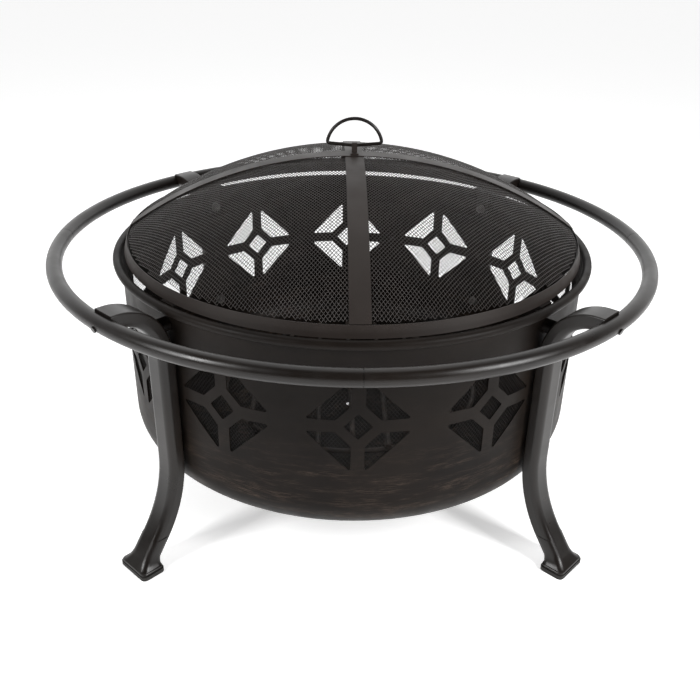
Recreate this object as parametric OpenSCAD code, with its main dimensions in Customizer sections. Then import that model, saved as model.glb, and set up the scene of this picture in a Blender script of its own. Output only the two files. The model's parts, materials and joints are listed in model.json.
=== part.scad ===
// Round garden fire pit: a deep pierced bowl on four curved legs, a tubular
// ring around it, a domed spark screen with a lifting handle and a log grate.
// Millimetres, +Z up. The origin is on the ground, under the bowl's centre.
// -Y is the front; the legs stand at 45 degrees to the X and Y axes.

/* [Bowl] */
// Outer radius of the bowl's wall
bowl_r = 353; // [280:1:420]
// Sheet thickness of the bowl
bowl_t = 1.5; // [1:0.1:3]
// Height of the bowl's underside above the ground
bowl_z = 90; // [60:1:160]
// Radius of the corner between wall and base
bowl_corner = 60; // [20:1:90]
// Height of the rim's top above the ground
rim_z = 396; // [300:1:450]
// Outer radius of the rolled bead's section
rim_bead = 6.5; // [4:0.5:10]
// Diameter of the drain hole
drain_d = 12; // [6:1:20]

/* [Cut-outs] */
// How many diamond motifs go round the wall
motif_count = 12; // [8:2:16]
// Height of the motifs' centres
motif_z = 271; // [200:1:320]
// Half the diagonal of the whole diamond
motif_half = 78; // [50:1:90]
// Half the diagonal of the frame round the centre
frame_half = 38.5; // [25:0.5:50]
// Half the diagonal of the small centre diamond
centre_half = 19; // [10:0.5:30]
// Width of the bars that cross the diamond
bar_w = 18; // [10:1:30]
// Corner radius of each cut-out
cut_corner = 2.2; // [0.5:0.1:4]

/* [Outer ring] */
// Overall diameter of the ring
ring_d = 914; // [800:1:1000]
// Diameter of the ring's tube
tube_d = 22.2; // [16:0.1:30]
// Wall of the ring's tube
tube_t = 1.5; // [1:0.1:3]
// Height of the tube's centre
ring_z = 395; // [300:1:450]

/* [Legs] */
// Width of the leg section, along the wall
leg_w = 38; // [20:1:45]
// Depth of the leg section, away from the wall
leg_d = 22; // [12:1:30]
// Wall of the leg section
leg_t = 2; // [1.5:0.1:3]
// Radius of the section's two outer corners
leg_corner = 9.5; // [2:0.5:9.5]
// Distance from the bowl's axis to the middle of the straight leg
leg_r = 368; // [320:1:430]
// Heights where the straight part starts and ends
leg_z = [164, 320];
// Bend radius of the lower sweep
sweep_r = 200; // [120:5:300]
// Bend radius and angle where the leg leaves the wall
lean = [100, 28];
// Bend radius of the top hook
hook_r = 60; // [45:1:90]
// Foot glide: along the wall, outward, and height
glide = [60, 37, 6];

/* [Spark screen] */
// Height of the middle of the screen's lower edge
screen_z = 400; // [380:0.5:420]
// How far the screen sits out of level, rear edge up, in degrees
screen_tip = 1.2; // [0:0.1:3]
// Outer radius of the band at its lower edge
band_r = 347.5; // [300:0.1:349]
// Outer radius of the band at its upper edge
band_top_r = 343; // [300:0.1:350]
// Height of the band
band_h = 16; // [10:1:30]
// Height of the dome above the band
dome_h = 111; // [80:1:160]
// Width of the two crossing straps
strap_w = 27.5; // [15:0.5:40]
// Thickness of band, clamp ring and straps
strip_t = 1; // [0.8:0.1:2]

/* [Handle] */
// Diameter of the handle's wire
wire_d = 5; // [4:0.5:8]
// Radius of the handle's arch
arch_r = 41; // [25:0.5:60]
// Height of the arch's centre above the straps
arch_z = 10; // [0:0.5:20]
// Height of the wire's lowest point above the straps
handle_lift = 11.7; // [4:0.5:20]

/* [Log grate] */
// Radius of the grate's ring
grate_r = 210; // [150:5:260]
// Diameter of the grate's rods
rod_d = 8; // [6:1:14]
// Height of the grate's feet
grate_foot_h = 40; // [20:1:80]
// Number of bars
bar_count = 7; // [5:2:9]

/* [Hidden] */
$fn = 64;

bronze = [0.10, 0.085, 0.075];
bronze_light = [0.20, 0.17, 0.15];
mesh_grey = [0.16, 0.16, 0.16];
steel = [0.35, 0.34, 0.33];
rubber = [0.05, 0.05, 0.05];
iron = [0.12, 0.11, 0.10];

// the legs' directions, front-left first and then round to the back-left
leg_azimuth = [225, 315, 45, 135];

wall_in = bowl_r - bowl_t;              // inner radius of the wall
bead_r = bowl_r - bowl_t + rim_bead + 0.5;  // the bead centre's radius
bead_z = rim_z - rim_bead;              // and its height
liner_z = [194, 349];                   // lower and upper edge of the liner
liner_r = wall_in - 1.2;
liner_t = 0.8;

ring_r = ring_d / 2 - tube_d / 2;       // the tube's centreline radius
seam = 0.05;                            // half the gap at a seam, in degrees

leg_in = leg_r - leg_d / 2;             // the face next to the wall
spacer_t = leg_in - bowl_r;
// end of the lean: radius, height
lean_end = [leg_r + lean[0] * (1 - cos(lean[1])),
            leg_z[1] + lean[0] * sin(lean[1])];
hook_c = [lean_end[0] + hook_r * cos(lean[1]),
          lean_end[1] - hook_r * sin(lean[1])];
hook_z = hook_c[1] + hook_r;            // the hook's centre height at its end
hook_end = ring_r - 4;                  // the hook stops in the tube's flank
bolt_tilt = 17;                         // the ring bolts point up by this much

step_h = 4;                             // the foot's plate above its glide
foot_top = glide[2] + step_h;
foot_r = 432;                           // middle of the foot
sweep_turn = 36;                        // the angle that the lower sweep turns

bolt_z = [178, 365];                    // heights of the bolts through the wall
bolt_r = 4;
nut_h = 6.5;
nut_from = [leg_t + 0.05, 16.4];        // the nuts, from a straight leg's face
washer_t = 1.6;

dome_r = (pow(band_top_r - 2, 2) + dome_h * dome_h) / (2 * dome_h);
dome_c = band_h + dome_h - dome_r;      // the sphere's centre, screen frame
mesh_t = 1;
strap_lift = 0.15;                      // play between mesh and strap
apex = band_h + dome_h;                 // the mesh's top, screen frame
strap_top = apex + 2 * strap_lift + 2 * strip_t;

grate_ring_z = bowl_z + bowl_t + 0.3 + grate_foot_h + rod_d / 2;
grate_bar_z = grate_ring_z + rod_d + 0.02;

// ---------- shared shapes ----------

// a convex outline with its corners rounded to radius r
function unit(v) = v / norm(v);
function corner_arc(a, p, b, r, n) =
    let (u = unit(a - p), v = unit(b - p),
         half = acos(u * v) / 2,
         c = p + unit(u + v) * r / sin(half),
         s = p + u * r / tan(half) - c,
         e = p + v * r / tan(half) - c,
         a0 = atan2(s[1], s[0]),
         turn = atan2(s[0] * e[1] - s[1] * e[0], s * e))
    [for (i = [0 : n]) c + r * [cos(a0 + turn * i / n), sin(a0 + turn * i / n)]];
function rounded(p, r, n = 3) = [for (i = [0 : len(p) - 1])
    each corner_arc(p[(i + len(p) - 1) % len(p)], p[i], p[(i + 1) % len(p)], r, n)];

// a plate with round corners, standing on z = 0
module plate(size, r) {
    linear_extrude(size[2]) union() {
        square([size[0] - 2 * r, size[1]], center = true);
        square([size[0], size[1] - 2 * r], center = true);
        for (x = [-1, 1], y = [-1, 1])
            translate([x * (size[0] / 2 - r), y * (size[1] / 2 - r)]) circle(r);
    }
}

module torus(radius, r) {
    rotate_extrude($fn = 180) translate([radius, 0]) circle(r, $fn = 48);
}

module at_legs() {
    for (a = leg_azimuth) rotate([0, 0, a]) children();
}

// along a radius of the bowl, from r = from and outward
module radial(from, z) {
    translate([from, 0, z]) rotate([0, 90, 0]) children();
}

module hexagon(across, h) {
    cylinder(r = across / sqrt(3), h = h, $fn = 6);
}

// ---------- bowl ----------

// the solid shape inside the bowl's outer face, as a half section
module pot2d(r, z, corner, top) {
    translate([0, z]) square([r - corner, top - z]);
    translate([0, z + corner]) square([r, top - z - corner]);
    translate([r - corner, z + corner]) circle(corner, $fn = 96);
}

module bowl2d() {
    difference() {
        union() {
            pot2d(bowl_r, bowl_z, bowl_corner, bead_z);
            translate([bead_r, bead_z]) circle(rim_bead, $fn = 48);
        }
        pot2d(wall_in, bowl_z + bowl_t, bowl_corner - bowl_t, rim_z + 1);
        translate([bead_r, bead_z]) circle(rim_bead - bowl_t, $fn = 48);
    }
}

// one motif: four corner pieces and the small centre diamond
module motif2d() {
    b = bar_w / 2;
    for (x = [-1, 1], y = [-1, 1]) scale([x, y])
        polygon(rounded([[b, motif_half - b], [motif_half - b, b],
                         [frame_half - b, b], [b, frame_half - b]], cut_corner));
    polygon(rounded([[centre_half, 0], [0, centre_half],
                     [-centre_half, 0], [0, -centre_half]], cut_corner));
}

module bowl() {
    color(bronze) difference() {
        rotate_extrude($fn = 180) bowl2d();
        for (i = [0 : motif_count - 1])
            rotate([0, 0, 90 + i * 360 / motif_count])
                translate([wall_in - 12, 0, motif_z])
                    rotate([90, 0, 90]) linear_extrude(24) motif2d();
        at_legs() for (z = bolt_z) radial(wall_in - 5, z)
            cylinder(r = bolt_r + 0.3, h = 12);
        translate([0, 0, bowl_z - 5]) cylinder(r = drain_d / 2, h = 20);
    }
}

module mesh_liner() {
    color(mesh_grey) translate([0, 0, liner_z[0]]) difference() {
        cylinder(r = liner_r, h = liner_z[1] - liner_z[0], $fn = 180);
        translate([0, 0, -1])
            cylinder(r = liner_r - liner_t, h = liner_z[1] - liner_z[0] + 2, $fn = 180);
    }
}

// weld pads between the wall and the liner, one between each two motifs
module liner_pads() {
    color(steel) for (i = [0 : motif_count - 1])
        rotate([0, 0, 90 + (i + 0.5) * 360 / motif_count])
            radial(liner_r + 0.05, motif_z) cylinder(r = 5, h = 1.05);
}

// ---------- outer ring ----------

// a quarter of the ring, with a reduced neck that plugs into the next quarter
module ring_segment(start) {
    neck = tube_d / 2 - tube_t - 0.15;
    color(bronze) translate([0, 0, ring_z]) rotate([0, 0, start]) difference() {
        union() {
            rotate([0, 0, seam]) rotate_extrude(angle = 90 - 2 * seam, $fn = 180)
                translate([ring_r, 0]) circle(tube_d / 2, $fn = 48);
            rotate([0, 0, 85]) rotate_extrude(angle = 9, $fn = 180)
                translate([ring_r, 0]) circle(neck, $fn = 48);
        }
        rotate([0, 0, -1]) rotate_extrude(angle = 87, $fn = 180)
            translate([ring_r, 0]) circle(tube_d / 2 - tube_t, $fn = 48);
        rotate([0, 0, 85.5]) rotate_extrude(angle = 10, $fn = 180)
            translate([ring_r, 0]) circle(neck - 1.2, $fn = 48);
        rotate([0, 0, 45]) ring_bolt_line() cylinder(r = 2.7, h = 60, center = true);
    }
}

// the ring bolts' line, through the tube's centre and into the hook's end
module ring_bolt_line() {
    translate([ring_r, 0, 0]) rotate([0, -90 + bolt_tilt, 0]) children();
}

module ring_bolts() {
    color(bronze) at_legs() translate([0, 0, ring_z]) ring_bolt_line() {
        translate([0, 0, -tube_d / 2 - 1.65]) cylinder(r = 4.5, h = 1.6);
        translate([0, 0, -tube_d / 2 - 0.5]) cylinder(r = 2.5, h = tube_d + 12);
    }
}

// ---------- legs ----------

// the leg's section: x points away from the bowl, y along the wall
module leg2d(grow = 0) {
    d = leg_d + 2 * grow;
    w = leg_w + 2 * grow;
    r = leg_corner + grow;
    q = max(2.5 + grow, 0.6);
    union() {
        translate([-d / 2 + q, -w / 2]) square([d - q - r, w]);
        translate([-d / 2, -w / 2 + q]) square([d / 2, w - 2 * q]);
        translate([0, -w / 2 + r]) square([d / 2, w - 2 * r]);
        for (y = [-1, 1]) {
            translate([d / 2 - r, y * (w / 2 - r)]) circle(r);
            translate([-d / 2 + q, y * (w / 2 - q)]) circle(q);
        }
    }
}

// a bend of the leg about a centre outside it, from angle a and through turn
module leg_bend(centre, radius, a, turn, grow) {
    translate([centre[0], 0, centre[1]]) rotate([90, 0, 0]) rotate([0, 0, a])
        rotate_extrude(angle = turn, $fn = 180)
            translate([radius, 0]) mirror([1, 0]) leg2d(grow);
}

// the straight piece below the sweep, running down and outward into the foot
module leg_end(grow) {
    translate([leg_r + sweep_r * (1 - cos(sweep_turn)), 0,
               leg_z[0] - sweep_r * sin(sweep_turn)])
        rotate([0, 180 - sweep_turn, 0])
            linear_extrude(60) mirror([1, 0]) leg2d(grow);
}

module leg_line(grow) {
    translate([leg_r, 0, leg_z[0]])
        linear_extrude(leg_z[1] - leg_z[0]) leg2d(grow);
    leg_bend([leg_r + sweep_r, leg_z[0]], sweep_r, 180, sweep_turn, grow);
    leg_end(grow);
    leg_bend([leg_r + lean[0], leg_z[1]], lean[0], 180 - lean[1], lean[1], grow);
    hook(grow);
}

// the bend at the top and the short straight piece that reaches the ring
module hook(grow) {
    leg_bend(hook_c, hook_r, 90, 90 - lean[1], grow);
    translate([hook_c[0], 0, hook_z]) rotate([0, 90, 0])
        linear_extrude(hook_end - hook_c[0]) leg2d(grow);
}

// what the tube takes out of the hook's end
module ring_space(gap) {
    translate([0, 0, ring_z]) torus(ring_r, tube_d / 2 + gap);
}

module leg(azimuth) {
    color(bronze) rotate([0, 0, azimuth]) difference() {
        leg_line(0);
        leg_line(-leg_t);
        translate([hook_end - 0.01, -leg_w / 2 - 1, hook_z - leg_d])
            cube([1, leg_w + 2, 2 * leg_d]);
        ring_space(0.05);
        translate([leg_r, -60, -60]) cube([160, 120, 60 + foot_top]);
        for (i = [0, 1]) radial(leg_in - 5, bolt_z[i])
            cylinder(r = bolt_r + 0.3, h = 12 + nut_from[i]);
    }
}

module hook_plugs() {
    color(bronze) at_legs() difference() {
        intersection() {
            hook(-leg_t - 0.15);
            translate([hook_end - 22, -30, hook_z - 20]) cube([21.5, 60, 40]);
        }
        ring_space(0.3);
        translate([0, 0, ring_z]) ring_bolt_line()
            cylinder(r = 2.6, h = tube_d + 13);
    }
}

// ---------- feet ----------

// the shoe: a plate on the glide and a flared cover round the leg's end
module foot(azimuth) {
    color(bronze) rotate([0, 0, azimuth]) difference() {
        union() {
            translate([foot_r, 0, glide[2]])
                plate([glide[1] - 3, glide[0] - 4, step_h], 6);
            intersection() {
                leg_end(1.6);
                translate([foot_r - 60, -40, foot_top - 0.5]) cube([120, 80, 24]);
            }
        }
        intersection() {
            leg_end(0.1);
            translate([leg_r, -60, foot_top]) cube([160, 120, 100]);
        }
    }
}

module foot_glides() {
    color(rubber) at_legs() translate([foot_r, 0, 0])
        plate([glide[1], glide[0], glide[2] - 0.02], 7);
}

// ---------- fasteners through the wall ----------

module leg_bolts() {
    color(steel) at_legs() for (i = [0, 1]) {
        under = wall_in - washer_t - (i == 1 ? 2.4 : 0);
        radial(under - 5.3, bolt_z[i]) hexagon(13, 5.2);
        radial(under - 0.2, bolt_z[i])
            cylinder(r = bolt_r, h = leg_in + nut_from[i] + nut_h + 1.5 - under);
    }
}

module leg_washers() {
    color(steel) at_legs() for (i = [0, 1])
        radial(wall_in - washer_t - 0.1 - (i == 1 ? 2.4 : 0), bolt_z[i]) difference() {
            cylinder(r = 8, h = washer_t - 0.15);
            translate([0, 0, -1]) cylinder(r = bolt_r + 0.2, h = 5);
        }
}

// the upper spacers end in a slant along the leaning part of the legs
module leg_spacers() {
    reach = lean[0] + leg_d / 2;
    tilt = asin((bolt_z[1] - leg_z[1]) / reach);
    color(steel) at_legs() for (i = [0, 1]) difference() {
        radial(bowl_r + 0.05, bolt_z[i])
            cylinder(r = 10, h = i == 1 ? 25 : spacer_t - 0.1);
        radial(bowl_r - 1, bolt_z[i]) cylinder(r = bolt_r + 0.2, h = 40);
        translate([leg_r + lean[0] - reach * cos(tilt) - 0.1, 0, bolt_z[1]])
            rotate([0, tilt, 0]) translate([0, -20, -30]) cube([40, 40, 60]);
    }
}

module leg_nuts() {
    color(steel) at_legs() for (i = [0, 1])
        radial(leg_in + nut_from[i], bolt_z[i]) difference() {
            hexagon(13, nut_h);
            translate([0, 0, -1]) cylinder(r = bolt_r + 0.1, h = nut_h + 2);
        }
}

// angle brackets inside the mouth, each under a leg's upper bolt; the rear
// pair stands higher because the screen sits slightly out of level
module screen_rests() {
    t = 2;
    tab = [352, 24];
    color(steel) for (a = leg_azimuth) rotate([0, 0, a]) {
        y = (band_r - 2) * sin(a);
        shelf = screen_z + y * sin(screen_tip) - 0.6;
        difference() {
            union() {
                translate([wall_in - 0.4 - t, -tab[1] / 2, tab[0]])
                    cube([t, tab[1], shelf - tab[0]]);
                translate([wall_in - 16, -tab[1] / 2, shelf - t])
                    cube([15, tab[1], t]);
            }
            radial(wall_in - 8, bolt_z[1]) cylinder(r = bolt_r + 0.3, h = 12);
        }
    }
}

// ---------- spark screen ----------

module on_screen() {
    translate([0, 0, screen_z]) rotate([screen_tip, 0, 0]) children();
}

// a thin upright strip round the screen, leaning in as the band does
module lean_strip(inset, t, from, to) {
    slope = (band_top_r - band_r) / band_h;
    rotate_extrude($fn = 180) polygon([
        [band_r - inset + slope * from, from], [band_r - inset + slope * to, to],
        [band_r - inset - t + slope * to, to], [band_r - inset - t + slope * from, from]]);
}

module screen_band() {
    color(bronze_light) on_screen() lean_strip(0, strip_t, 0, band_h);
}

module screen_clamp_ring() {
    color(bronze_light) on_screen() lean_strip(2 * strip_t + 0.3, strip_t, 0, band_h - 3);
}

// the mesh: a dome with a skirt that is held between band and clamp ring
module screen_mesh() {
    color(mesh_grey) on_screen() {
        intersection() {
            translate([0, 0, dome_c]) difference() {
                sphere(dome_r, $fn = 180);
                sphere(dome_r - mesh_t, $fn = 180);
            }
            translate([0, 0, band_h - 0.5]) difference() {
                cylinder(r = 400, h = 200);
                cylinder(r = 2.6, h = 200);
            }
        }
        lean_strip(strip_t + 0.15, mesh_t, 1, band_h);
    }
}

// a strap over the dome, wider by lift than the mesh
module strap(lift) {
    intersection() {
        translate([0, 0, dome_c]) difference() {
            sphere(dome_r + lift + strip_t, $fn = 180);
            sphere(dome_r + lift, $fn = 180);
        }
        translate([-strap_w / 2, -450, band_h + 0.6 + lift]) cube([strap_w, 900, 200]);
    }
}

module strap_front_back() {
    color(bronze_light) on_screen() difference() {
        strap(strap_lift);
        translate([0, 0, apex - 8]) cylinder(r = 2.6, h = 20);
    }
}

module strap_left_right() {
    color(bronze_light) on_screen() difference() {
        rotate([0, 0, 90]) strap(2 * strap_lift + strip_t);
        translate([0, 0, apex - 8]) cylinder(r = 2.6, h = 20);
    }
}

// flat rivet heads inside the clamp ring, which hold it to the band
module strap_rivets() {
    in = band_r - 3 * strip_t - 0.4 - (band_r - band_top_r) / 2;
    color(bronze_light) on_screen() for (a = [0 : 45 : 315])
        rotate([0, 0, a + 22.5]) translate([in, 0, band_h / 2])
            rotate([0, -90 - atan2(band_r - band_top_r, band_h), 0])
                cylinder(r = 3, h = 1);
}

// ---------- handle ----------

// a piece of the handle's wire between two points
module wire(a, b) {
    v = b - a;
    translate(a) rotate([0, acos(v[2] / norm(v)), atan2(v[1], v[0])])
        cylinder(r = wire_d / 2, h = norm(v), $fn = 32);
}

module wire_arc(c, r, from, turn) {
    translate(c) rotate([90, 0, 0]) rotate([0, 0, from])
        rotate_extrude(angle = turn, $fn = 96) translate([r, 0]) circle(wire_d / 2, $fn = 32);
}

// an arch of wire with two straight wires welded between its ends, which
// slope down to the clip
module handle_loop() {
    low = strap_top + handle_lift;
    from = 6;                        // the arch's ends, above its centre line
    join = 10;                       // where the straight wires meet the arch
    gap = 0.1;
    c = [0, 0, strap_top + arch_z];
    reach = arch_r - wire_d / 2 - gap;
    end = [reach * cos(join), 0, c[2] + reach * sin(join)];
    color(bronze) on_screen() {
        wire_arc(c, arch_r, from, 180 - 2 * from);
        for (s = [-1, 1]) wire([s * 0.4, 0, low], [s * end[0], 0, end[2]]);
    }
}

// a saddle clip over the middle of the handle's lower side
module handle_clip() {
    low = strap_top + handle_lift;
    color(bronze_light) on_screen() difference() {
        union() {
            translate([-6, -11, strap_top + 0.1]) cube([12, 22, 2]);
            translate([-4, -4.3, strap_top + 0.1]) cube([8, 8.6, low - strap_top + 0.9]);
            translate([-4, 0, low]) rotate([0, 90, 0]) cylinder(r = 4.3, h = 8);
        }
        translate([-7, 0, low]) rotate([0, 90, 0]) cylinder(r = wire_d / 2 + 0.35, h = 14);
        translate([0, 0, apex - 8]) cylinder(r = 2.6, h = 15);
    }
}

module handle_bolt() {
    color(steel) on_screen() translate([0, 0, apex - 9]) cylinder(r = 2.4, h = 15.5);
}

module handle_nut() {
    color(steel) on_screen() translate([0, 0, apex - mesh_t - 5]) difference() {
        hexagon(8, 4.5);
        translate([0, 0, -1]) cylinder(r = 2.5, h = 7);
    }
}

// ---------- log grate ----------

module grate_ring() {
    color(iron) translate([0, 0, grate_ring_z]) torus(grate_r, rod_d / 2);
}

module grate_bars() {
    pitch = 2 * grate_r / (bar_count + 1);
    color(iron) for (i = [1 : bar_count]) {
        x = -grate_r + i * pitch;
        half = sqrt(grate_r * grate_r - x * x) + 6;
        translate([x, half, grate_bar_z]) rotate([90, 0, 0])
            cylinder(r = rod_d / 2, h = 2 * half, $fn = 48);
    }
}

module grate_feet() {
    color(iron) for (a = [45 : 90 : 315]) rotate([0, 0, a])
        translate([grate_r, 0, bowl_z + bowl_t + 0.3])
            cylinder(r = rod_d / 2, h = grate_foot_h - 0.05, $fn = 48);
}

bowl();
mesh_liner();
liner_pads();
ring_segment(270);  // ring_segment_front_right
ring_segment(0);  // ring_segment_back_right
ring_segment(90);  // ring_segment_back_left
ring_segment(180);  // ring_segment_front_left
leg(leg_azimuth[0]);  // leg_front_left
leg(leg_azimuth[1]);  // leg_front_right
leg(leg_azimuth[2]);  // leg_back_right
leg(leg_azimuth[3]);  // leg_back_left
foot(leg_azimuth[0]);  // foot_front_left
foot(leg_azimuth[1]);  // foot_front_right
foot(leg_azimuth[2]);  // foot_back_right
foot(leg_azimuth[3]);  // foot_back_left
foot_glides();
hook_plugs();
ring_bolts();
leg_bolts();
leg_washers();
leg_spacers();
leg_nuts();
screen_rests();
screen_mesh();
screen_band();
screen_clamp_ring();
strap_front_back();
strap_left_right();
strap_rivets();
handle_loop();
handle_clip();
handle_bolt();
handle_nut();
grate_ring();
grate_bars();
grate_feet();
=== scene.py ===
"""Looks of the garden fire pit: painted bronze steel, open wire mesh, shod feet and a bent-wire handle.
Metres, in the CAD part's frame: +Z up from the ground, -Y is the front."""
import json
import math

import bpy
import numpy as np
from mathutils import Matrix, Vector


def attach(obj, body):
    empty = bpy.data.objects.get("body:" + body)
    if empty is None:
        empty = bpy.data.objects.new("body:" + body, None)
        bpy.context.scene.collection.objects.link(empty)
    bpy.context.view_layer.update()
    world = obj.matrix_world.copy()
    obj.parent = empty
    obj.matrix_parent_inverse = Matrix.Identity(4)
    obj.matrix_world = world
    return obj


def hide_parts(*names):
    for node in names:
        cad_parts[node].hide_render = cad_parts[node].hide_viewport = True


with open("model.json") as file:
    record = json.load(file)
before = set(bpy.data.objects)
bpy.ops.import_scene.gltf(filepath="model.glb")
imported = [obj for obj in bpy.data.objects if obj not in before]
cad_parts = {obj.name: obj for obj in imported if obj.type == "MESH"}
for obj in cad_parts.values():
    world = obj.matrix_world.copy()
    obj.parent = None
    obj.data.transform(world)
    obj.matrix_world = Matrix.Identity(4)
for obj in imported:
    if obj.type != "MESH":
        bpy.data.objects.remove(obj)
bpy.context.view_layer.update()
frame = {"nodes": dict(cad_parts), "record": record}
NODES = frame["nodes"]

MM = 0.001

# The part's driving dimensions, as in its CAD source.
SCREEN_Z = 400 * MM
SCREEN_TIP = math.radians(1.2)
BAND_H = 16 * MM
BAND_TOP_R = 343 * MM
DOME_H = 111 * MM
STRIP_T = 1 * MM
WIRE_R = 2.5 * MM
ARCH_R = 41 * MM
ARCH_Z = 10 * MM
HANDLE_LIFT = 11.7 * MM
LINER_R = 349.9 * MM
LINER_Z = (194 * MM, 349 * MM)
LEG_AZIMUTHS = {"front_left": 225, "front_right": 315, "back_right": 45, "back_left": 135}
LEG_W = 38 * MM
FOOT_R = 432 * MM
FOOT_TOP = 10 * MM
LEG_SLOPE = math.radians(36)

# Worked out as in the CAD source.
DOME_R = ((BAND_TOP_R - 2 * MM) ** 2 + DOME_H ** 2) / (2 * DOME_H)
DOME_C = BAND_H + DOME_H - DOME_R
STRAP_TOP = BAND_H + DOME_H + 0.3 * MM + 2 * STRIP_T


def on_screen(points):
    """Points given in the spark screen's own frame, in the part's frame."""
    c, s = math.cos(SCREEN_TIP), math.sin(SCREEN_TIP)
    p = np.asarray(points, float)
    return np.stack([p[:, 0], c * p[:, 1] - s * p[:, 2], SCREEN_Z + s * p[:, 1] + c * p[:, 2]], 1)


# ---------- materials ----------

class Paint:
    """A Principled material whose textures are laid out in the part's own coordinates."""

    def __init__(self, name, **constants):
        self.material = bpy.data.materials.new(name)
        self.material.use_nodes = True
        self.nodes = self.material.node_tree.nodes
        self.links = self.material.node_tree.links
        self.shader = self.nodes["Principled BSDF"]
        for socket, value in constants.items():
            self.shader.inputs[socket.replace("_", " ")].default_value = value
        self.place = self.nodes.new("ShaderNodeTexCoord").outputs["Object"]

    def link(self, output, socket):
        self.links.new(output, socket)

    def stretched(self, scale):
        """The coordinates, scaled along each axis."""
        n = self.nodes.new("ShaderNodeVectorMath")
        n.operation = "MULTIPLY"
        n.inputs[1].default_value = scale
        self.link(self.place, n.inputs[0])
        return n.outputs[0]

    def noise(self, scale, detail, stretch=None, roughness=0.55):
        n = self.nodes.new("ShaderNodeTexNoise")
        n.inputs["Scale"].default_value = scale
        n.inputs["Detail"].default_value = detail
        n.inputs["Roughness"].default_value = roughness
        self.link(self.stretched(stretch) if stretch else self.place, n.inputs["Vector"])
        return n.outputs["Fac"]

    def ranged(self, value, low, high, to_low=0.0, to_high=1.0):
        """value from low..high mapped to to_low..to_high, and held at the ends."""
        n = self.nodes.new("ShaderNodeMapRange")
        for socket, x in (("From Min", low), ("From Max", high), ("To Min", to_low), ("To Max", to_high)):
            n.inputs[socket].default_value = x
        self.link(value, n.inputs["Value"])
        return n.outputs["Result"]

    def times(self, a, b):
        """The product of two outputs, or of an output and a number."""
        n = self.nodes.new("ShaderNodeMath")
        n.operation = "MULTIPLY"
        for i, x in enumerate((a, b)):
            if isinstance(x, float):
                n.inputs[i].default_value = x
            else:
                self.link(x, n.inputs[i])
        return n.outputs[0]

    def height(self):
        n = self.nodes.new("ShaderNodeSeparateXYZ")
        self.link(self.place, n.inputs[0])
        return n.outputs["Z"]

    def mixed(self, factor, a, b):
        """Colour a where factor is 0 and b where it is 1."""
        n = self.nodes.new("ShaderNodeMix")
        n.data_type = "RGBA"
        for socket, x in ((n.inputs[6], a), (n.inputs[7], b)):
            if isinstance(x, tuple):
                socket.default_value = (*x, 1.0)
            else:
                self.link(x, socket)
        self.link(factor, n.inputs[0])
        return n.outputs[2]

    def colour(self, output):
        self.link(output, self.shader.inputs["Base Color"])

    def rough(self, output):
        self.link(output, self.shader.inputs["Roughness"])

    def bump(self, output, strength, distance):
        n = self.nodes.new("ShaderNodeBump")
        n.inputs["Strength"].default_value = strength
        n.inputs["Distance"].default_value = distance
        self.link(output, n.inputs["Height"])
        self.link(n.outputs[0], self.shader.inputs["Normal"])


def bronze_paint(name, dark, brown, roughness, shine, streaks=False):
    """Dark paint with brown rubbed through it; streaks adds brush marks round the lower bowl."""
    p = Paint(name, Metallic=0.0, Specular_IOR_Level=shine)
    patches = p.ranged(p.noise(7, 4), 0.42, 0.72)
    colour = p.mixed(p.times(patches, 0.35), dark, brown)
    if streaks:
        long_marks = p.ranged(p.noise(1, 5, (14, 14, 90)), 0.44, 0.68)
        fine_marks = p.ranged(p.noise(1, 5, (55, 55, 900), 0.75), 0.46, 0.66)
        low = p.ranged(p.height(), 0.25, 0.15, 0.05, 1.0)
        marks = p.times(p.times(long_marks, fine_marks), low)
        colour = p.mixed(marks, colour, tuple(4.0 * c for c in brown))
    p.colour(colour)
    p.rough(p.ranged(p.noise(26, 3), 0.3, 0.7, *roughness))
    p.bump(p.noise(700, 2), 0.10, 0.0002)
    return p.material


def wire_paint(name, dark, light, roughness):
    """Thin paint on drawn wire, lighter where it has worn."""
    p = Paint(name, Metallic=0.35)
    p.colour(p.mixed(p.ranged(p.noise(30, 3), 0.35, 0.7), dark, light))
    p.rough(p.ranged(p.noise(60, 2), 0.3, 0.7, *roughness))
    p.bump(p.noise(1500, 1), 0.15, 0.0001)
    return p.material


def zinc(name):
    """Zinc-plated fasteners."""
    p = Paint(name, Metallic=0.85)
    p.colour(p.mixed(p.ranged(p.noise(120, 3), 0.3, 0.7), (0.16, 0.155, 0.15), (0.34, 0.33, 0.31)))
    p.rough(p.ranged(p.noise(260, 2), 0.3, 0.7, 0.28, 0.5))
    p.bump(p.noise(1200, 2), 0.2, 0.0002)
    return p.material


def black_rubber(name):
    """The glides under the feet."""
    p = Paint(name, Specular_IOR_Level=0.3)
    p.colour(p.mixed(p.noise(300, 2), (0.012, 0.011, 0.010), (0.028, 0.026, 0.024)))
    p.rough(p.ranged(p.noise(90, 2), 0.3, 0.7, 0.6, 0.8))
    p.bump(p.noise(1800, 2), 0.25, 0.0002)
    return p.material


def cast_iron(name):
    """The log grate's rough, scaly rods."""
    p = Paint(name, Metallic=0.2)
    p.colour(p.mixed(p.ranged(p.noise(40, 4), 0.35, 0.7), (0.014, 0.012, 0.011), (0.05, 0.035, 0.026)))
    p.rough(p.ranged(p.noise(80, 3), 0.3, 0.7, 0.55, 0.85))
    p.bump(p.noise(450, 4), 0.5, 0.0006)
    return p.material


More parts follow.
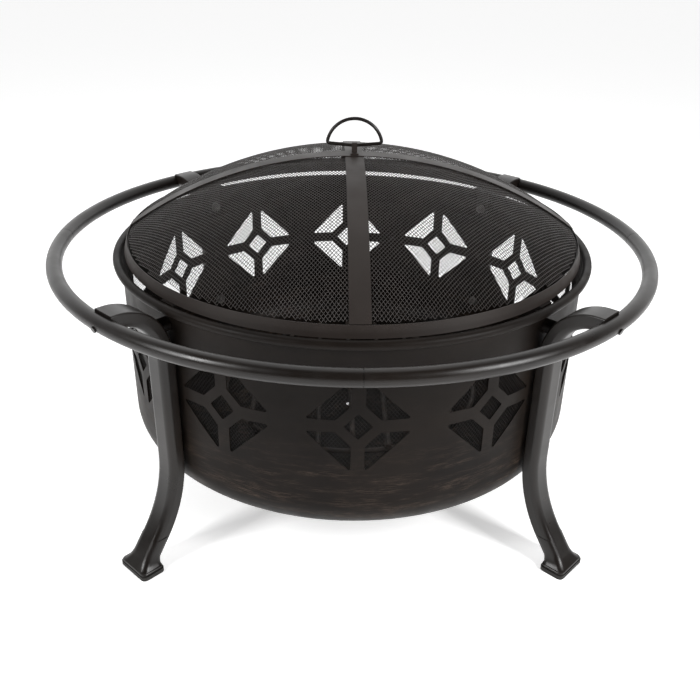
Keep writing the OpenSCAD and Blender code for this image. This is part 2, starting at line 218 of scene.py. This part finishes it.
DARK = (0.0058, 0.0042, 0.0034)
BROWN = (0.018, 0.0125, 0.0092)
TRIM_DARK = (0.020, 0.0155, 0.0135)
TRIM_BROWN = (0.036, 0.028, 0.024)
MATERIALS = {
    "bronze_paint": bronze_paint("bronze_paint", DARK, BROWN, (0.27, 0.38), 0.34),
    "bowl_paint": bronze_paint("bowl_paint", DARK, BROWN, (0.40, 0.54), 0.10, streaks=True),
    "bronze_trim": bronze_paint("bronze_trim", TRIM_DARK, TRIM_BROWN, (0.42, 0.55), 0.22),
    "mesh_wire": wire_paint("mesh_wire", (0.017, 0.0135, 0.012), (0.036, 0.029, 0.026), (0.38, 0.52)),
    # the liner is the same wire as the screen's mesh, given darker colours as painted shade for its place
    # inside the bowl
    "liner_wire_painted_shade": wire_paint("liner_wire_painted_shade", (0.007, 0.0055, 0.005), (0.014, 0.011, 0.010), (0.50, 0.65)),
    "zinc_steel": zinc("zinc_steel"),
    "rubber": black_rubber("rubber"),
    "grate_iron": cast_iron("grate_iron"),
}


def paint(obj, name):
    obj.data.materials.clear()
    obj.data.materials.append(MATERIALS[name])


for row in frame["record"]["subparts"]:
    paint(NODES[row["node"]], row["material_slot"])
paint(NODES["bowl"], "bowl_paint")


# ---------- meshes ----------

def make_mesh(name, points, faces, body, slot):
    """A smooth-shaded piece that rides on a body and takes a slot of the record and its paint."""
    mesh = bpy.data.meshes.new(name)
    mesh.from_pydata([tuple(p) for p in points], [], faces)
    mesh.update()
    mesh.shade_smooth()
    obj = bpy.data.objects.new(name, mesh)
    bpy.context.scene.collection.objects.link(obj)
    paint(obj, slot)
    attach(obj, body)
    return obj


def strands(ends, outward, width, depth, sides):
    """Points and faces of straight strands between pairs of points, each with its outward direction."""
    a, b = ends[:, 0], ends[:, 1]
    along = b - a
    along /= np.linalg.norm(along, axis=1, keepdims=True)
    across = np.cross(outward, along)
    across /= np.linalg.norm(across, axis=1, keepdims=True)
    turn = 2 * np.pi * (np.arange(sides) + (0.5 if sides == 4 else 0.25)) / sides
    ring = np.cos(turn)[None, :, None] * across[:, None] * width / 2
    ring = ring + np.sin(turn)[None, :, None] * outward[:, None] * depth / 2
    points = np.concatenate([a[:, None] + ring, b[:, None] + ring], 1).reshape(-1, 3)
    first = np.arange(len(a))[:, None] * 2 * sides
    k = np.arange(sides)
    quads = np.stack([first + k, first + (k + 1) % sides,
                      first + sides + (k + 1) % sides, first + sides + k], -1)
    return points, quads.reshape(-1, 4)


MESH_PITCH = 5.2 * MM                   # width of a diamond
MESH_ROW = 3.3 * MM                     # half its height
MESH_STRAND = 1.0 * MM                  # a strand's width and depth, on the screen
MESH_DEPTH = 0.6 * MM
LINER_STRAND = 0.45 * MM                # and on the band behind the cut-outs
LINER_DEPTH = 0.42 * MM
BAND_HOLD = 3 * MM                      # the band grips the sheet's edge over this width
BOLT_CLEAR = 3 * MM                     # the sheet is open round the handle's bolt


def diamond_lattice(columns, rows):
    """Pairs of grid places (column, row) that a diamond mesh's strands join.
    Odd rows stand half a column to the right."""
    c, r = np.meshgrid(np.arange(columns), np.arange(rows), indexing="ij")
    c, r = c.ravel(), r.ravel()
    shift = (r % 2) / 2
    start = np.stack([c + shift, r], 1)
    up_left = np.stack([c + shift - 0.5, r + 1], 1)
    up_right = np.stack([c + shift + 0.5, r + 1], 1)
    return np.concatenate([np.stack([start, up_left], 1), np.stack([start, up_right], 1)])


def make_dome():
    """The spark screen's mesh: a flat diamond sheet pressed into a dome, with one piece to each quarter."""
    reach = BAND_TOP_R - BAND_HOLD
    radius = DOME_R - STRIP_T / 2
    columns = int(2 * reach / MESH_PITCH) + 2
    rows = int(2 * reach / MESH_ROW) + 2
    pairs = diamond_lattice(columns, rows)
    flat = (pairs - [columns / 2, rows / 2]) * [MESH_PITCH, MESH_ROW]
    flat = flat[np.linalg.norm(flat, axis=-1).max(1) < reach]
    flat = flat[np.linalg.norm(flat.mean(1), axis=1) > BOLT_CLEAR]
    middle = flat.mean(1)
    height = DOME_C + np.sqrt(radius ** 2 - (flat ** 2).sum(-1))
    ends = np.concatenate([flat, height[..., None]], -1)
    outward = ends.mean(1) - [0, 0, DOME_C]
    outward /= np.linalg.norm(outward, axis=1, keepdims=True)
    quarter = (middle[:, 0] > 0) * 2 + (middle[:, 1] > 0)
    for q, name in enumerate(("front_left", "back_left", "front_right", "back_right")):
        chosen = quarter == q
        points, faces = strands(ends[chosen], outward[chosen], MESH_STRAND, MESH_DEPTH, 4)
        obj = make_mesh("screen_mesh_" + name, on_screen(points), faces.tolist(), "screen", "mesh_wire")
        if q == 0:
            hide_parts("screen_mesh")


def make_liner():
    """The mesh behind the cut-outs: a diamond sheet rolled into a band, with one piece to each quarter."""
    radius = LINER_R
    columns = 4 * round(2 * math.pi * radius / MESH_PITCH / 4)
    rows = int((LINER_Z[1] - LINER_Z[0]) / MESH_ROW)
    pairs = diamond_lattice(columns, rows)
    angle = pairs[..., 0] * 2 * math.pi / columns
    height = LINER_Z[0] + pairs[..., 1] * MESH_ROW
    ends = np.stack([radius * np.cos(angle), radius * np.sin(angle), height], -1)
    outward = ends.mean(1) * [1, 1, 0]
    outward /= np.linalg.norm(outward, axis=1, keepdims=True)
    quarter = np.floor(np.mod(pairs.mean(1)[:, 0], columns) / (columns / 4)).astype(int)
    for q in range(4):
        chosen = quarter == q
        points, faces = strands(ends[chosen], outward[chosen], LINER_STRAND, LINER_DEPTH, 3)
        obj = make_mesh(f"liner_mesh_{q + 1}", points, faces.tolist(), "base", "mesh_wire")
        # a darker copy of the wire paint: painted shade for the shaded inside of the bowl
        paint(obj, "liner_wire_painted_shade")
        if q == 0:
            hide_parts("mesh_liner")


# ---------- feet ----------

def rounded_section(half_depth, half_width, corner, steps=6):
    """A rectangle with round corners, anticlockwise, as (depth, width) pairs."""
    out = []
    for k, (sx, sy) in enumerate(((1, 1), (-1, 1), (-1, -1), (1, -1))):
        for i in range(steps + 1):
            a = math.pi / 2 * (k + i / steps)
            out.append((sx * (half_depth - corner) + corner * math.cos(a),
                        sy * (half_width - corner) + corner * math.sin(a)))
    return out


SHOE_TOP = 46 * MM
SHOE_STEPS = 18
FLARE_START = 0.45                      # share of the way down at which the shoe starts to widen
# the plate's outline from its top face down: height, half depth and half width in millimetres
PLATE = ((9.9, 17.2, 27.6), (9.2, 17.4, 28.2), (7.0, 17.4, 28.2), (6.2, 16.6, 27.4))
PLATE_CORNER = 6.5 * MM


def shoe_sections():
    """Height, middle radius, half depth, half width and corner of each level, from the top down."""
    sections = []
    for i in range(SHOE_STEPS + 1):
        t = i / SHOE_STEPS
        z = SHOE_TOP + (FOOT_TOP - SHOE_TOP) * t
        flare = max(0.0, (t - FLARE_START) / (1 - FLARE_START)) ** 3
        middle = FOOT_R - (z - FOOT_TOP) * math.tan(LEG_SLOPE) - 0.6 * MM * (1 - flare)
        half_depth = (14.6 + 2.6 * flare) * MM
        half_width = LEG_W / 2 + (0.9 + 6.0 * flare) * MM
        sections.append((z, middle, half_depth, half_width, (10 - 3 * flare) * MM))
    for z, half_depth, half_width in PLATE:
        sections.append((z * MM, FOOT_R, half_depth * MM, half_width * MM, PLATE_CORNER))
    return sections


def make_foot(name, azimuth):
    """A pressed shoe: it follows the leg, flares sideways in a curve and ends in a stepped plate."""
    sections = shoe_sections()
    points, faces = [], []
    a = math.radians(azimuth)
    for z, middle, half_depth, half_width, corner in sections:
        for x, y in rounded_section(half_depth, half_width, corner):
            r = middle + x
            points.append((r * math.cos(a) - y * math.sin(a), r * math.sin(a) + y * math.cos(a), z))
    n = len(points) // len(sections)
    for j in range(len(sections) - 1):
        for i in range(n):
            k = (i + 1) % n
            faces.append((j * n + k, j * n + i, (j + 1) * n + i, (j + 1) * n + k))
    faces.append(tuple(range(n)))
    faces.append(tuple(range(len(points) - 1, len(points) - n - 1, -1)))
    obj = make_mesh("shoe_" + name, points, faces, "base", "bronze_paint")
    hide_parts("foot_" + name)
    edges = obj.modifiers.new("edges", "EDGE_SPLIT")
    edges.split_angle = math.radians(38)


# ---------- handle ----------

def bent_wire(path, radius, sides=16):
    """Points and faces of a wire along a list of points in the screen's XZ plane."""
    path = np.asarray(path, float)
    tangent = np.gradient(path, axis=0)
    tangent /= np.linalg.norm(tangent, axis=1, keepdims=True)
    side = np.array([0.0, 1.0, 0.0])
    normal = np.cross(tangent, side)
    turn = 2 * np.pi * np.arange(sides) / sides
    rings = path[:, None] + radius * (np.cos(turn)[None, :, None] * normal[:, None]
                                      + np.sin(turn)[None, :, None] * side)
    points = rings.reshape(-1, 3)
    faces = []
    for j in range(len(path) - 1):
        for i in range(sides):
            k = (i + 1) % sides
            faces.append((j * sides + i, j * sides + k, (j + 1) * sides + k, (j + 1) * sides + i))
    faces.append(tuple(range(sides)))
    faces.append(tuple(range(len(points) - 1, len(points) - sides - 1, -1)))
    return points, faces


ARCH_END = math.radians(13)             # the arch stops this far above its centre's level
V_SLOPE = math.radians(4.5)
BEND_R = 3.5 * MM                       # the wire's bend between arch and V
V_GAP = 0.3 * MM                        # half the gap between the wire's ends


def half_handle():
    """The wire's middle line from its right end round to the top, as (x, z) pairs."""
    low = STRAP_TOP + HANDLE_LIFT
    centre_z = STRAP_TOP + ARCH_Z
    px = (ARCH_R - BEND_R) * math.cos(ARCH_END)
    pz = centre_z + (ARCH_R - BEND_R) * math.sin(ARCH_END)
    half = []
    end = (px + BEND_R * math.sin(V_SLOPE), pz - BEND_R * math.cos(V_SLOPE))
    for t in np.linspace(V_GAP / end[0], 1, 14)[:-1]:
        half.append((t * end[0], low + t * (end[1] - low)))
    for a in np.linspace(V_SLOPE - math.pi / 2, ARCH_END, 12)[:-1]:
        half.append((px + BEND_R * math.cos(a), pz + BEND_R * math.sin(a)))
    for a in np.linspace(ARCH_END, math.pi / 2, 28):
        half.append((ARCH_R * math.cos(a), centre_z + ARCH_R * math.sin(a)))
    return half


def make_handle():
    """One wire bent to an arch; its ends turn in along a shallow V and meet inside the clip."""
    half = half_handle()
    whole = half + [(-x, z) for x, z in reversed(half[:-1])]
    points, faces = bent_wire([(x, 0, z) for x, z in whole], WIRE_R)
    obj = make_mesh("handle_wire", on_screen(points), faces, "screen", "bronze_paint")
    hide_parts("handle_loop")


make_dome()
make_liner()
make_handle()
for leg, azimuth in LEG_AZIMUTHS.items():
    make_foot(leg, azimuth)


# ---------- stage, light and camera ----------

FLOOR_HALF = 14.0


def make_floor():
    """A white floor that glows a little, so that it stays white in the frame."""
    mesh = bpy.data.meshes.new("floor")
    corners = [(FLOOR_HALF * x, FLOOR_HALF * y, 0) for x, y in ((-1, -1), (1, -1), (1, 1), (-1, 1))]
    mesh.from_pydata(corners, [], [(0, 1, 2, 3)])
    floor = bpy.data.objects.new("floor", mesh)
    bpy.context.scene.collection.objects.link(floor)
    m = bpy.data.materials.new("floor")
    m.use_nodes = True
    shader = m.node_tree.nodes["Principled BSDF"]
    shader.inputs["Base Color"].default_value = (0.9, 0.9, 0.9, 1)
    shader.inputs["Roughness"].default_value = 0.9
    shader.inputs["Emission Color"].default_value = (1, 1, 1, 1)
    shader.inputs["Emission Strength"].default_value = 0.5
    mesh.materials.append(m)


def make_world():
    """A studio: a white backdrop behind the object and overhead, a dimmer room in front of it."""
    world = bpy.data.worlds.new("studio")
    bpy.context.scene.world = world
    world.use_nodes = True
    nodes, links = world.node_tree.nodes, world.node_tree.links
    place = nodes.new("ShaderNodeTexCoord").outputs["Generated"]
    split = nodes.new("ShaderNodeSeparateXYZ")
    links.new(place, split.inputs[0])
    ramp = nodes.new("ShaderNodeMapRange")
    for socket, x in (("From Min", 0.0), ("From Max", 0.7), ("To Min", 0.01), ("To Max", 1.5)):
        ramp.inputs[socket].default_value = x
    links.new(split.outputs["Y"], ramp.inputs["Value"])
    background = nodes["Background"]
    background.inputs["Color"].default_value = (1, 1, 1, 1)
    links.new(ramp.outputs["Result"], background.inputs["Strength"])


def soft_box(name, place, target, size, power):
    """A rectangular studio light at place, turned to target."""
    light = bpy.data.lights.new(name, "AREA")
    light.shape = "RECTANGLE"
    light.size, light.size_y = size
    light.energy = power
    obj = bpy.data.objects.new(name, light)
    bpy.context.scene.collection.objects.link(obj)
    obj.location = place
    obj.rotation_euler = (Vector(target) - Vector(place)).to_track_quat("-Z", "Y").to_euler()


def make_camera(place, target, roll, lens):
    """A camera on a 36 mm sensor, turned to target and rolled about its own axis."""
    camera = bpy.data.cameras.new("camera")
    camera.lens = lens
    camera.sensor_width = 36
    obj = bpy.data.objects.new("camera", camera)
    bpy.context.scene.collection.objects.link(obj)
    turn = (Vector(target) - Vector(place)).to_track_quat("-Z", "Y").to_matrix().to_4x4()
    obj.matrix_world = Matrix.Translation(place) @ turn @ Matrix.Rotation(roll, 4, "Z")
    bpy.context.scene.camera = obj


make_floor()
make_world()
soft_box("left_box", (-1.9, -1.3, 1.5), (0, 0, 0.35), (0.5, 1.0), 44)
soft_box("right_box", (1.7, -1.5, 1.4), (0, 0, 0.35), (0.45, 1.0), 54)
soft_box("top_box", (0, 0.3, 2.6), (0, 0, 0.4), (1.6, 1.2), 5)
make_camera((-0.0407, -1.2247, 0.8362), (-0.0008, 0, 0.1963), math.radians(1.08), 42.25)
bpy.context.scene.view_settings.view_transform = "Standard"
